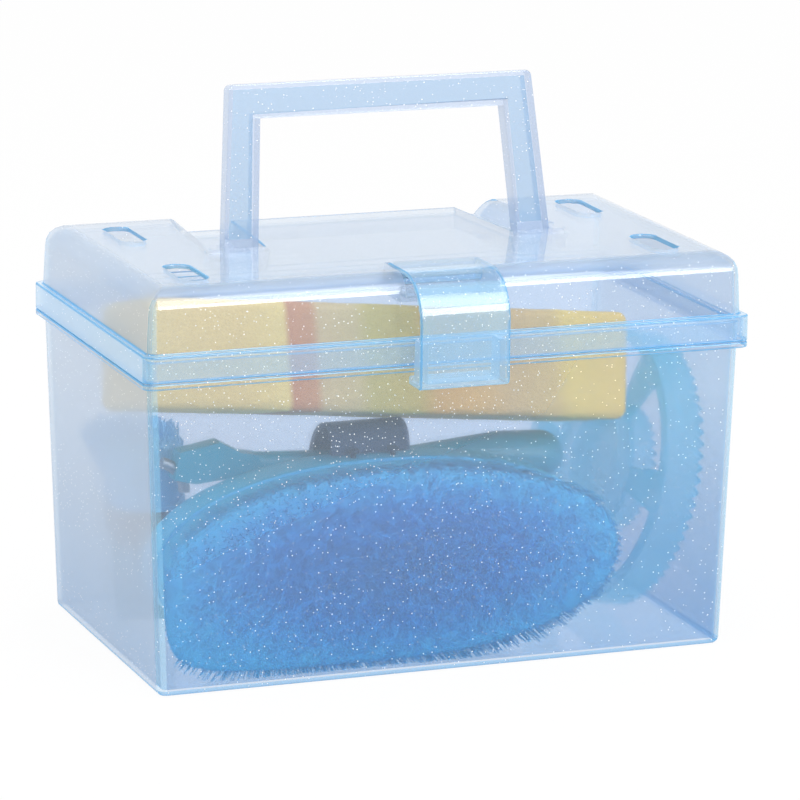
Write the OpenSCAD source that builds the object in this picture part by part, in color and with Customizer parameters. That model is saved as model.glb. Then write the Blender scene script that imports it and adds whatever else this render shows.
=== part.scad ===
// Horse grooming box: a tapered clear tub with a hinged lid, a spring latch, a folding handle
// and the grooming tools that lie in it. Millimetres, +Z up, the latch faces -Y.

/* [Tub] */
// Width of the tub at its bottom
tub_bottom_w = 257; // [255:0.5:261]
// Depth of the tub at its bottom
tub_bottom_d = 152; // [150:0.5:154]
// Width of the tub at its rim
tub_rim_w = 266.6; // [264:0.1:267]
// Depth of the tub at its rim
tub_rim_d = 154.6; // [153.5:0.1:157]
// Height of the tub's rim
rim_z = 144; // [140:0.5:144.5]
// Thickness of the tub's walls
wall = 2.2; // [1.8:0.1:2.6]
// Thickness of the tub's floor
floor_t = 2.5; // [2:0.1:3]
// Radius of the upright corners
corner_r = 4.5; // [4:0.5:8]
// Radius of the bottom edge
bottom_edge_r = 3; // [1:0.5:4]
// Drop from the rim to the underside of the ledge that the lid closes on
ledge_drop = 11; // [9:0.5:16]
// Thickness of the ledge
ledge_t = 2.5; // [2:0.1:3]
// How far the ledge and the lid's skirt stand out from the rim at the ends
skirt_out_x = 2.7; // [2.4:0.1:4.7]
// How far they stand out from the rim at the front and the back
skirt_out_y = 4.2; // [3.7:0.1:5.2]

/* [Lid] */
// Height of the top of the skirt above the rim
skirt_rise = 3.2; // [2.5:0.1:5]
// Thickness of the lid's walls
lid_wall = 2; // [1.8:0.1:2.4]
// How far the lid's wall above the skirt stands out from the rim at the ends
lid_out_x = 0.2; // [-1.3:0.1:0.7]
// How far it stands out from the rim at the front and the back
lid_out_y = 1.2; // [0.2:0.1:2.2]
// How much narrower the lid's wall gets on its way up
lid_taper = 2; // [0:0.5:4]
// Height of the lid's flat top above the skirt
lid_h = 26.8; // [24.8:0.2:32.8]
// Radius of the lid's upper edge
lid_edge_r = 10; // [6:0.5:11]
// Gap between the closed lid and the tub's ledge
lid_gap = 0.3; // [0.2:0.05:0.5]
// Width of each slot in the lid's top
vent_w = 11.5; // [8:0.5:14]
// Length of each slot in the lid's top
vent_l = 34; // [24:1:40]
// Distance from the lid's end to the middle of each slot
vent_end = 27; // [25.5:0.5:31.5]
// Distance from the lid's front to the middle of the front slots
vent_front = 34.5; // [30:0.5:36]
// Distance from the lid's back to the middle of the rear slots
vent_back = 37.5; // [34:0.5:40]

/* [Hinge] */
// Distance from the middle to each rear hinge
hinge_x = 70; // [50:1:95]
// Length of the lid's knuckle
lid_knuckle_l = 14; // [10:0.5:20]
// Length of each tub knuckle
tub_knuckle_l = 10; // [6:0.5:14]
// Radius of a knuckle
knuckle_r = 4; // [3.5:0.1:4.2]
// Radius of a hinge pin
hinge_pin_r = 1.8; // [1.5:0.1:2]
// Running clearance round the pins
pin_gap = 0.05; // [0.03:0.01:0.08]
// Gap between neighbouring knuckles
knuckle_gap = 0.4; // [0.3:0.05:0.8]

/* [Handle] */
// Length of the handle from its pivot to the top of its bar
handle_l = 72.6; // [60:0.2:74]
// Half width over the handle's legs at the pivot
leg_outer = 75.2; // [72:0.2:78]
// Half width between the handle's legs at the pivot
leg_inner = 60; // [52:0.2:62]
// How much the outer edges draw in for each millimetre up
outer_draw = 0.08; // [0.02:0.01:0.1]
// How much the inner edges draw in for each millimetre up
inner_draw = 0.066; // [0.02:0.002:0.09]
// Height of the handle's bar
bar_h = 15; // [12:0.5:20]
// Thickness of the handle from front to back
handle_t = 8; // [7:0.5:8.5]
// Thickness of the handle's channel walls
handle_wall = 2.4; // [1.8:0.1:3]
// Place of the handle's pivot from front to back
pivot_y = 2; // [0:0.5:4]
// Lean of the handle behind the upright
handle_lean = 9; // [0:1:20]
// Radius of the stubs that the handle turns on
stub_r = 2.5; // [2:0.1:2.8]
// Gap round the folded handle in its groove
groove_gap = 1; // [0.6:0.1:1.5]
// How far the groove's outer sides slope over its depth
groove_draft = 6; // [1:0.5:7]
// How far the sides of the panel inside the groove slope over its depth
panel_draft = 3; // [1:0.5:5]

/* [Latch] */
// Width of the latch
latch_w = 40; // [30:1:46]
// Thickness of the latch's plate
latch_t = 2.2; // [1.8:0.1:2.6]
// Distance from the lid's front wall to the latch's pivot
latch_inset = 22.3; // [20.5:0.2:24.5]
// Radius of the latch's barrel
barrel_r = 5; // [4.5:0.1:5.5]
// Radius of the latch's pin
latch_pin_r = 2; // [1.6:0.1:2.4]
// Radius of the latch's front curve
latch_curve_r = 20; // [16:0.5:22]
// How far the latch's front face stands out from the skirt
latch_out = 12.5; // [11.5:0.5:16.5]
// Gap at each side of the latch in its notch
latch_gap = 0.6; // [0.4:0.1:1]
// Drop of the hook's top below the ledge
hook_drop = 1.4; // [1.2:0.1:2]
// Reach of the hook under the ledge
hook_reach = 1.4; // [0.8:0.1:1.4]

/* [Sponge] */
// Gap between the sponge and the tub's left wall
sponge_gap = 0.6; // [0.4:0.1:2]
// Room between the sponge and the curry comb
sponge_room = 5.9; // [5.9:0.5:25.9]
// Depth of the sponge
sponge_d = 66; // [56:1:66]
// Room between the sponge and the lid's top
sponge_head = 6.1; // [6.1:0.5:13.1]
// Radius of the sponge's edges
sponge_r = 5; // [3:0.5:8]

/* [Body brush] */
// Gap between the body brush and the tub's left wall
body_gap = 4.3; // [4:0.1:8]
// Room between the body brush and the curry comb
body_room = 14.2; // [14.2:0.5:38.2]
// Width of the body brush, which stands on its edge
body_w = 86; // [80:0.5:86]
// Thickness of the body brush's back
body_t = 22; // [18:0.5:22]
// Length of the body brush's bristles
body_bristle_l = 21; // [16:0.5:21.5]
// Strands across the width of the body brush
body_rows = 13; // [9:1:14]
// Width of the hand strap of the body brush
body_strap_w = 36; // [30:1:44]

/* [Face brush] */
// Length of the face brush
face_l = 66; // [56:1:66]
// Width of the face brush
face_w = 34; // [28:1:34]
// Thickness of the face brush's back
face_t = 19; // [15:0.5:20]
// Height of the face brush's back above the tub's floor
face_lift = 39.5; // [20:0.5:40]
// Length of the face brush's bristles
face_bristle_l = 29; // [24:1:40]
// Gap between the face brush and the tub's rear wall
face_gap = 7.4; // [5:0.1:12]
// Width of the hand strap of the face brush
face_strap_w = 24; // [18:1:26]

/* [Curry comb] */
// Gap between the curry comb and the tub's front and rear walls
comb_side = 11.8; // [7.8:0.2:15.8]
// Depth of the curry comb's outer ring
comb_h = 19; // [16:0.5:20]
// Thickness of the comb's rings and web
comb_t = 2.4; // [2:0.1:3]
// Number of teeth round the outer ring
comb_teeth = 72; // [48:4:84]
// Radius of the comb's raised middle
comb_hub_r = 28; // [24:0.5:44]
// Height of the comb's raised middle behind its web
comb_hub_h = 4.5; // [2:0.5:4.5]
// Number of teeth round the inner ring
comb_hub_teeth = 36; // [24:2:48]

/* [Hoof pick] */
// Length of the hoof pick's grip from its collar to its end
pick_grip_l = 76; // [60:1:76]
// Radius of the pick's grip at its thick end
pick_bulb_r = 10.5; // [8:0.5:10.5]
// Radius of the pick's neck
pick_neck_r = 4.5; // [3.5:0.1:4.5]
// Radius of the pick's steel rod
pick_rod_r = 2.5; // [2:0.1:3]

/* [Hidden] */

$fn = 48;
eps = 0.01;
seat = 0.2;                 // gap between pieces that lie on each other
hull_fn = 32;

clear_blue = [0.55, 0.72, 0.9, 0.45];
latch_blue = [0.4, 0.68, 0.9, 0.7];
comb_blue = [0.45, 0.72, 0.9];
bristle_blue = [0.3, 0.5, 0.78];
cyan = [0.35, 0.68, 0.85];
teal = [0.3, 0.55, 0.62];
wood = [0.78, 0.66, 0.6];
foam = [0.88, 0.78, 0.5];
webbing = [0.3, 0.33, 0.42];
steel = [0.75, 0.77, 0.8];

// Lid and its skirt
ledge_z = rim_z - ledge_drop;
band_w = tub_rim_w + 2 * skirt_out_x;
band_d = tub_rim_d + 2 * skirt_out_y;
band_top_z = rim_z + skirt_rise;
lid_w = tub_rim_w + 2 * lid_out_x;
lid_d = tub_rim_d + 2 * lid_out_y;
lid_top_z = band_top_z + lid_h;
skirt_z = ledge_z + ledge_t + lid_gap;
shelf_z = band_top_z - lid_wall;
lid_edge_z = lid_top_z - lid_edge_r;
skirt_in_w = band_w - 2 * lid_wall;
skirt_in_d = band_d - 2 * lid_wall;
edge_steps = 5;
vent_x = lid_w / 2 - vent_end;
vent_places = [-lid_d / 2 + vent_front, lid_d / 2 - vent_back];

// Rear hinge
hinge_y = band_d / 2 + knuckle_r + 0.3;
hinge_z = ledge_z + ledge_t + lid_gap / 2;
hinge_span = lid_knuckle_l + 2 * knuckle_gap + 2 * tub_knuckle_l;

// Handle, its groove and its pivot
groove_floor = lid_top_z - handle_t;
pivot_z = groove_floor + 0.3 + handle_t / 2;
groove_front = pivot_y - handle_t / 2 - groove_gap;
bar_s = handle_l - bar_h;
leg_end_r = handle_t / 2;
leg_end_inset = 0.5;
ear_in = leg_outer + 0.4;
ear_t = 6;
stub_l = ear_t - 0.8;
ear_half_y = leg_end_r + 1.5;

// Latch and its notch
latch_y = -lid_d / 2 + latch_inset;
latch_front_y = -band_d / 2 - latch_out;
latch_top = lid_top_z + 1;
latch_z = latch_top - barrel_r;
notch_half = latch_w / 2 + latch_gap;
notch_back = latch_y + barrel_r + latch_gap;
notch_floor = latch_z - barrel_r - 1;
hook_top = ledge_z - hook_drop;
hook_t = 2;
lip_bottom = hook_top - 4.1;
hook_tip_y = -band_d / 2 + hook_reach;
curve_y = latch_front_y + latch_curve_r;
curve_z = latch_top - latch_curve_r;
lip_r = 3;
rib_t = 2.5;
rib_x = latch_w / 2 - 1.5 - rib_t / 2;

// Places of what lies in the tub, on its floor or on each other: the comb leans on the right wall
tub_floor = floor_t + seat;
comb_gap = 0.8;
comb_turn = 5;
comb_lean = 13;
comb_r = tub_bottom_d / 2 - wall - comb_side;
comb_reach = comb_r * sqrt(1 - pow(cos(comb_turn) * cos(comb_lean), 2));
comb_z = tub_floor + comb_r * cos(comb_lean);
comb_x = tub_w(comb_z + comb_r * cos(comb_lean)) / 2 - wall - comb_gap - comb_reach;
comb_y = -4;
comb_back_x = comb_x - comb_h;
body_left_x = -tub_bottom_w / 2 + wall + body_gap;
body_l = comb_back_x - body_room - body_left_x;
body_x = body_left_x + body_l / 2;
body_z = tub_floor + body_w / 2;
body_tip_gap = 2.8;
body_tip_y = -tub_bottom_d / 2 + wall + body_tip_gap;
body_front_y = body_tip_y + body_bristle_l;
body_rear_y = body_front_y + body_t;
body_top_z = body_z + body_w / 2;
body_slice = 2;
body_curve = 2.15;
body_margin = [16, 14];
body_field_l = body_l - body_margin[0];
body_field_w = body_w - body_margin[1];
face_turn = -12;
face_bottom_z = tub_floor + face_lift;
face_top_z = face_bottom_z + face_t;
face_side = 26.3;
face_tip_side = 29.3;
face_tip_z = face_top_z + face_bristle_l;
face_x = wall - min(tub_bottom_w / 2 - face_side, tub_w(face_tip_z) / 2 - face_tip_side);
face_y = tub_d(face_top_z) / 2 - wall - face_gap - face_l / 2;
face_slice = 2;
face_curve = 2.8;
pick_room = 20.2;
pick_gap = 25;
pick_head_l = 38;
pick_x = comb_back_x - pick_room - pick_grip_l;
pick_y = body_rear_y + seat + pick_bulb_r;
pick_drop = 8.9;
pick_z = body_top_z - pick_drop;
pick_neck_l = pick_x + tub_w(pick_z) / 2 - wall - pick_gap - pick_head_l;
pick_tilt = 2.8;
sponge_tilt_x = -14;
sponge_tilt_y = 5.5;
sponge_left_x = -tub_w(body_top_z) / 2 + wall + sponge_gap;
sponge_l = (comb_back_x - sponge_room - sponge_left_x) / cos(sponge_tilt_y);
sponge_x = sponge_left_x + sponge_l / 2 * cos(sponge_tilt_y);
sponge_front = 16;
sponge_y = -tub_d(body_top_z) / 2 + wall + sponge_front + sponge_d / 2 * cos(sponge_tilt_x);
sponge_lift = 13.3;
sponge_z = body_top_z + sponge_lift;
sponge_rise = sponge_l / 2 * sin(sponge_tilt_y) - sponge_d / 2 * sin(sponge_tilt_x);
sponge_t = (lid_top_z - lid_wall - sponge_head - sponge_z - sponge_rise)
    / (cos(sponge_tilt_x) * cos(sponge_tilt_y));

// Hand straps: their tabs, their screws and their courses from end to end
strap_t = 2;
strap_x = body_x - 2;
screw_r = 2.4;
screw_l = 7;
body_tab_y = body_front_y + 3;
body_tab_l = 8;
body_screw_y = body_tab_y + 3;
strap_rise = 29;
strap_bow = 45;
strap_dip = 6;
strap_drop = 58;
body_strap_p = [body_tab_y + body_tab_l, body_top_z + seat];
body_strap_q = [body_tab_y + body_tab_l, body_top_z + strap_rise];
body_strap_r = [body_rear_y + strap_bow, body_top_z - strap_dip];
body_strap_s = [body_rear_y + seat, body_top_z - strap_drop];
face_tab_l = 8;
face_strap_half = face_l / 2 - 4 - face_tab_l;
face_strap_sag = face_lift - strap_t - seat;

// Width and depth of the tub's outside at a height
function tub_w(z) = tub_bottom_w + (tub_rim_w - tub_bottom_w) * z / rim_z;
function tub_d(z) = tub_bottom_d + (tub_rim_d - tub_bottom_d) * z / rim_z;
// Half widths of the handle at a distance from its pivot
function outer_half(s) = leg_outer - outer_draw * s;
function inner_half(s) = leg_inner - inner_draw * s;
// Points of a rounded oval with half sizes a and b
function oval(a, b, p, n = 48) = [for (i = [0 : n - 1]) let (t = 360 * i / n)
    [a * sign(cos(t)) * pow(abs(cos(t)), 2 / p), b * sign(sin(t)) * pow(abs(sin(t)), 2 / p)]];
// A point of a cubic curve with end points p, s and handles q, r
function curve(p, q, r, s, t) =
    pow(1 - t, 3) * p + 3 * t * pow(1 - t, 2) * q + 3 * t * t * (1 - t) * r + pow(t, 3) * s;
// Direction at right angles to a curve, to its left
function curve_side(p, q, r, s, t) =
    let (d = 3 * pow(1 - t, 2) * (q - p) + 6 * t * (1 - t) * (r - q) + 3 * t * t * (s - r))
    [-d[1], d[0]] / norm(d);

// A rectangle with round corners
module round_rect(w, d, r) {
    square([w - 2 * r, d], center = true);
    square([w, d - 2 * r], center = true);
    for (x = [-1, 1], y = [-1, 1])
        translate([x * (w / 2 - r), y * (d / 2 - r)]) circle(r);
}

// A flat slab with round corners that stands on height z
module slab(w, d, r, z, h) {
    translate([0, 0, z]) linear_extrude(h) round_rect(w, d, r);
}

// A band of cloth along a curve in the YZ plane, w wide along X, with its tabs as children
module bent_strap(p, q, r, s, t, w, steps = 20) {
    inner = [for (i = [0 : steps]) curve(p, q, r, s, i / steps)];
    outer = [for (i = [steps : -1 : 0])
        curve(p, q, r, s, i / steps) + t * curve_side(p, q, r, s, i / steps)];
    rotate([90, 0, 90]) translate([0, 0, -w / 2]) linear_extrude(w) union() {
        polygon(concat(inner, outer));
        children();
    }
}

// One closed mesh of three-sided strands: each root has a place and a tip
module strands(roots, tips, root_r, tip_r) {
    n = len(roots);
    ring = [for (k = [0 : 2]) [cos(120 * k), sin(120 * k), 0]];
    points = [for (i = [0 : n - 1], j = [0 : 5])
        j < 3 ? roots[i] + root_r * ring[j] : tips[i] + tip_r * ring[j - 3]];
    faces = [for (i = [0 : n - 1], j = [0 : 7]) let (b = 6 * i, k = (j % 3), m = (k + 1) % 3)
        j < 3 ? [b + k, b + 3 + m, b + m] :
        j < 6 ? [b + k, b + 3 + k, b + 3 + m] :
        j == 6 ? [b, b + 1, b + 2] : [b + 5, b + 4, b + 3]];
    polyhedron(points, faces);
}

// A closed block between the tub's floor and rim, drawn in by a margin
module tub_form(margin, z0, z1, edge) {
    hull() {
        for (a = [0 : 30 : 90]) {
            z = z0 + edge * (1 - cos(a));
            inset = margin + edge * (1 - sin(a));
            r = max(corner_r - inset, 1);
            slab(tub_w(z) - 2 * inset, tub_d(z) - 2 * inset, r, z, eps, $fn = hull_fn);
        }
        slab(tub_w(z1) - 2 * margin, tub_d(z1) - 2 * margin, corner_r - margin, z1 - eps, eps,
            $fn = hull_fn);
    }
}

// The lid's body above its skirt, drawn in by a margin
module lid_form(margin, z0) {
    hull() {
        slab(lid_w - 2 * margin, lid_d - 2 * margin, corner_r - margin, z0, eps, $fn = hull_fn);
        for (k = [0 : edge_steps]) {
            a = 90 * k / edge_steps;
            inset = lid_taper / 2 + margin + (lid_edge_r - margin) * (1 - cos(a));
            z = lid_edge_z + (lid_edge_r - margin) * sin(a) - eps;
            slab(lid_w - 2 * inset, lid_d - 2 * inset, max(corner_r - inset, 1), z, eps, $fn = hull_fn);
        }
    }
}

// A four-sided block between two half widths, with sides that slope by draft
module sloped_block(y0, half0, y1, half1, z0, z1, draft, end_draft) {
    hull() {
        translate([0, 0, z0]) linear_extrude(eps)
            polygon([[-half0, y0], [half0, y0], [half1, y1], [-half1, y1]]);
        translate([0, 0, z1]) linear_extrude(eps)
            polygon([[-half0 - draft, y0], [half0 + draft, y0],
                     [half1 + draft, y1 + end_draft], [-half1 - draft, y1 + end_draft]]);
    }
}

// The groove that the folded handle lies in, grown by a margin
module handle_groove(margin) {
    back = lid_d;
    island_back = pivot_y + bar_s - groove_gap - margin;
    gap = groove_gap + margin;
    difference() {
        sloped_block(groove_front - margin, outer_half(groove_front - pivot_y) + gap, back,
            outer_half(back - pivot_y) + gap, groove_floor - margin, lid_top_z + 1, groove_draft, 0);
        sloped_block(groove_front - margin - 1, inner_half(groove_front - pivot_y) - gap, island_back,
            inner_half(bar_s) - gap, groove_floor - margin - 1, lid_top_z + 2, -panel_draft, -panel_draft);
    }
}

// The notch that the latch turns in, grown by a margin
module latch_notch(margin) {
    half = notch_half + margin;
    translate([-half, -lid_d, notch_floor - margin])
        cube([2 * half, lid_d + notch_back + margin, lid_top_z]);
}

// A row of bores along X for one hinge
module hinge_bore() {
    translate([0, hinge_y, hinge_z]) rotate([0, 90, 0])
        cylinder(r = hinge_pin_r + pin_gap, h = hinge_span + 2, center = true);
}

// One hinge knuckle with its arm; up is 1 for the lid and -1 for the tub
module knuckle(x, l, up) {
    arm_y = band_d / 2 - lid_wall / 2;
    translate([x - l / 2, 0, 0]) {
        translate([0, hinge_y, hinge_z]) rotate([0, 90, 0]) cylinder(r = knuckle_r, h = l);
        translate([0, arm_y, up > 0 ? skirt_z : hinge_z - knuckle_r])
            cube([l, hinge_y - arm_y, hinge_z + knuckle_r - skirt_z]);
    }
}

module base_tub() {
    color(clear_blue) difference() {
        union() {
            tub_form(0, 0, rim_z, bottom_edge_r);
            slab(band_w, band_d, corner_r, ledge_z, ledge_t);
            for (side = [-1, 1], end = [-1, 1])
                knuckle(side * hinge_x + end * (lid_knuckle_l / 2 + knuckle_gap + tub_knuckle_l / 2),
                    tub_knuckle_l, -1);
        }
        tub_form(wall, floor_t, rim_z + 1, max(bottom_edge_r - wall, 0.5));
        for (side = [-1, 1]) translate([side * hinge_x, 0, 0]) hinge_bore();
    }
}

// One pin of the rear hinges
module hinge_pin(side) {
    color(steel) translate([side * hinge_x, hinge_y, hinge_z]) rotate([0, 90, 0])
        cylinder(r = hinge_pin_r, h = hinge_span, center = true);
}

module hinge_pin_left() {
    hinge_pin(-1);
}

module hinge_pin_right() {
    hinge_pin(1);
}

// A block at the outer side of the groove that holds a stub of the handle
module pivot_ear(side) {
    z0 = groove_floor - lid_wall / 2;
    translate([side * (ear_in + ear_t / 2), pivot_y, (z0 + lid_top_z) / 2])
        cube([ear_t, 2 * ear_half_y, lid_top_z - z0], center = true);
}

module lid_shell() {
    color(clear_blue) difference() {
        union() {
            difference() {
                union() {
                    lid_form(0, shelf_z);
                    slab(band_w, band_d, corner_r, skirt_z, band_top_z - skirt_z);
                    for (side = [-1, 1]) knuckle(side * hinge_x, lid_knuckle_l, 1);
                }
                slab(skirt_in_w, skirt_in_d, corner_r - lid_wall, skirt_z - 1, shelf_z - skirt_z + 1);
                difference() {
                    lid_form(lid_wall, shelf_z - 1);
                    handle_groove(lid_wall);
                    latch_notch(lid_wall);
                }
                handle_groove(0);
                latch_notch(0);
            }
            for (side = [-1, 1]) pivot_ear(side);
        }
        for (side = [-1, 1]) {
            translate([side * hinge_x, 0, 0]) hinge_bore();
            translate([side * (ear_in + ear_t / 2), pivot_y, pivot_z]) rotate([0, 90, 0])
                cylinder(r = stub_r + pin_gap, h = ear_t + 2, center = true);
            for (y = vent_places) translate([side * vent_x, y, lid_top_z - lid_wall - 1])
                linear_extrude(lid_wall + 2) for (end = [-1, 1]) {
                    translate([0, end * (vent_l - vent_w) / 2]) circle(vent_w / 2);
                    square([vent_w, vent_l - vent_w], center = true);
                }
        }
        translate([0, latch_y, latch_z]) rotate([0, 90, 0])
            cylinder(r = latch_pin_r + pin_gap, h = 2 * (notch_half + lid_wall + 1), center = true);
    }
}

module latch_profile() {
    difference() {
        union() {
            translate([latch_y, latch_z]) circle(barrel_r);
            translate([curve_y, latch_top - latch_t]) square([latch_y - curve_y, latch_t]);
            intersection() {
                translate([curve_y, curve_z]) difference() {
                    circle(latch_curve_r);
                    circle(latch_curve_r - latch_t);
                }
                translate([latch_front_y, curve_z]) square(latch_curve_r);
            }
            translate([latch_front_y, lip_bottom + lip_r])
                square([latch_t, curve_z - lip_bottom - lip_r]);
            intersection() {
                translate([latch_front_y + lip_r, lip_bottom + lip_r]) difference() {
                    circle(lip_r);
                    circle(lip_r - latch_t);
                }
                translate([latch_front_y, lip_bottom]) square(lip_r);
            }
            translate([latch_front_y + lip_r, lip_bottom])
                square([hook_tip_y - latch_front_y - lip_r, latch_t]);
            translate([hook_tip_y - hook_t, lip_bottom]) square([hook_t, hook_top - lip_bottom]);
        }
        translate([latch_y, latch_z]) circle(latch_pin_r + pin_gap);
    }
}

module latch() {
    rib_gap = 0.4;
    rib_y = latch_front_y + latch_t - eps;
    color(latch_blue) union() {
        rotate([90, 0, 90]) translate([0, 0, -latch_w / 2]) linear_extrude(latch_w) latch_profile();
        for (side = [-1, 1])
            translate([side * rib_x - rib_t / 2, rib_y, lip_bottom + latch_t - eps])
                cube([rib_t, -band_d / 2 - rib_gap - rib_y, band_top_z - lip_bottom - latch_t]);
    }
}

module latch_pin() {
    color(steel) translate([0, latch_y, latch_z]) rotate([0, 90, 0])
        cylinder(r = latch_pin_r, h = 2 * (notch_half + lid_wall), center = true);
}

// Outline of the handle's face, drawn in by a margin
module handle_face(margin) {
    difference() {
        polygon([[-outer_half(0) + margin, 0], [-outer_half(handle_l) + margin, handle_l - margin],
                 [outer_half(handle_l) - margin, handle_l - margin], [outer_half(0) - margin, 0]]);
        polygon([[-inner_half(0) - margin, -1], [-inner_half(bar_s) - margin, bar_s + margin],
                 [inner_half(bar_s) + margin, bar_s + margin], [inner_half(0) + margin, -1]]);
    }
}

module handle() {
    leg_w = leg_outer - leg_inner - 2 * leg_end_inset;
    leg_mid = (leg_outer + leg_inner) / 2;
    color(clear_blue) translate([0, pivot_y, pivot_z]) rotate([-handle_lean, 0, 0]) union() {
        difference() {
            rotate([90, 0, 0]) translate([0, 0, -handle_t / 2]) linear_extrude(handle_t) handle_face(0);
            translate([0, 0, leg_end_r + handle_wall]) rotate([90, 0, 0])
                translate([0, 0, -handle_t / 2 - 1]) linear_extrude(handle_t - handle_wall + 1)
                    intersection() {
                        translate([0, -leg_end_r - handle_wall]) handle_face(handle_wall);
                        translate([-band_w / 2, 0]) square(band_w);
                    }
        }
        for (side = [-1, 1]) {
            translate([side * leg_mid, 0, 0]) rotate([0, 90, 0])
                cylinder(r = leg_end_r, h = leg_w, center = true);
            translate([side * (leg_outer + stub_l / 2 - 0.5), 0, 0]) rotate([0, 90, 0])
                cylinder(r = stub_r, h = stub_l + 1, center = true);
        }
    }
}

module sponge() {
    half = [sponge_l, sponge_d, sponge_t] / 2 - [1, 1, 1] * sponge_r;
    color(foam) translate([sponge_x, sponge_y, sponge_z]) rotate([sponge_tilt_x, sponge_tilt_y, 0])
        translate([0, 0, sponge_t / 2]) hull() for (x = [-1, 1], y = [-1, 1], z = [-1, 1])
            translate([x * half[0], y * half[1], z * half[2]])
                sphere(sponge_r, $fn = 16);
}

// The body brush stands on its edge: its face looks to -Y
module body_place() {
    translate([body_x, body_front_y, body_z]) rotate([90, 0, 0]) children();
}

module body_brush_back() {
    color(cyan) body_place() translate([0, 0, -body_t])
        linear_extrude(body_t - body_slice) polygon(oval(body_l / 2, body_w / 2, body_curve));
}

module body_brush_bristles() {
    pitch = body_field_w / body_rows;
    cols = floor(body_field_l / pitch);
    spread = 1.06;
    half_l = body_field_l / 2;
    half_w = body_field_w / 2;
    places = [for (i = [0 : cols - 1], j = [0 : body_rows - 1])
        let (x = (i - (cols - 1) / 2) * pitch + (j % 2 == 0 ? 0.25 : -0.25) * pitch,
             y = (j - (body_rows - 1) / 2) * pitch)
        if (pow(abs(x) / half_l, body_curve) + pow(abs(y) / half_w, body_curve) < 1) [x, y]];
    color(bristle_blue) body_place() union() {
        translate([0, 0, -body_slice]) linear_extrude(body_slice)
            polygon(oval(body_l / 2, body_w / 2, body_curve));
        strands([for (p = places) [p[0], p[1], -1]],
            [for (p = places) [p[0] * spread, p[1] * spread, body_bristle_l]], pitch * 0.32, pitch * 0.18);
    }
}

module body_brush_strap() {
    color(webbing) translate([strap_x, 0, 0])
        bent_strap(body_strap_p, body_strap_q, body_strap_r, body_strap_s, strap_t, body_strap_w)
            translate([body_tab_y, body_strap_p[1]]) square([body_tab_l - eps, strap_t]);
}

// A small screw whose head stands on the origin
module strap_screw() {
    cylinder(r = screw_r, h = screw_r / 2);
    translate([0, 0, -screw_l]) cylinder(r = screw_r / 2, h = screw_l + eps);
}

// A screw in the tab of the body brush's strap
module body_screw(side) {
    color(steel) translate([strap_x + side * body_strap_w / 4, body_screw_y, body_strap_p[1] + strap_t])
        strap_screw();
}

module body_brush_screw_left() {
    body_screw(-1);
}

module body_brush_screw_right() {
    body_screw(1);
}

// The face brush lies on its hand strap with its bristles up
module face_place(z) {
    translate([face_x, face_y, z]) rotate([0, 0, face_turn]) children();
}

module face_brush_back() {
    color(wood) face_place(face_bottom_z)
        linear_extrude(face_t - face_slice) polygon(oval(face_w / 2, face_l / 2, face_curve));
}

module face_brush_bristles() {
    rows = 15;
    cols = 8;
    spread = [1.5, 1.14];
    drift = [-5, 2];
    root_r = 1.3;
    half_w = face_w / 2 - 3;
    half_l = face_l / 2 - 3;
    places = [for (i = [0 : cols - 1], j = [0 : rows - 1])
        let (x = (2 * (i + (j % 2 == 0 ? 0.25 : 0.75)) / cols - 1) * half_w,
             y = (2 * (j + 0.5) / rows - 1) * half_l)
        if (pow(abs(x) / half_w, face_curve) + pow(abs(y) / half_l, face_curve) < 1) [x, y]];
    color(cyan) face_place(face_top_z) union() {
        translate([0, 0, -face_slice]) linear_extrude(face_slice)
            polygon(oval(face_w / 2, face_l / 2, face_curve));
        strands([for (p = places) [p[0], p[1], -1]],
            [for (p = places) [p[0] * spread[0] + drift[0], p[1] * spread[1] + drift[1], face_bristle_l]],
            root_r, root_r * 0.6);
    }
}

module face_brush_strap() {
    drop = face_strap_sag * 4 / 3;
    bow = 6;
    color(teal) face_place(face_bottom_z)
        bent_strap([face_strap_half, -seat], [face_strap_half - bow, -seat - drop],
            [-face_strap_half + bow, -seat - drop], [-face_strap_half, -seat], strap_t, face_strap_w)
            for (end = [-1, 1])
                translate([end * (face_strap_half + face_tab_l / 2 - 1), -seat - strap_t / 2])
                    square([face_tab_l, strap_t], center = true);
}

// A screw in a tab of the face brush's strap
module face_screw(end) {
    color(steel) face_place(face_bottom_z)
        translate([0, end * (face_strap_half + face_tab_l / 2), -seat - strap_t])
            rotate([180, 0, 0]) strap_screw();
}

module face_brush_screw_front() {
    face_screw(-1);
}

module face_brush_screw_rear() {
    face_screw(1);
}

// A ring of depth h whose teeth stand on its free edge
module toothed_ring(r, h, teeth) {
    tooth_h = 3;
    half_gap = 0.8 * PI * r / teeth;
    difference() {
        rotate_extrude() translate([r - comb_t, 0]) square([comb_t, h]);
        for (k = [0 : teeth - 1]) rotate([90, 0, 360 * k / teeth])
            translate([0, 0, -r - 1]) linear_extrude(comb_t + 2)
                polygon([[0, h - tooth_h], [half_gap, h + eps], [-half_gap, h + eps]]);
    }
}

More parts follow.
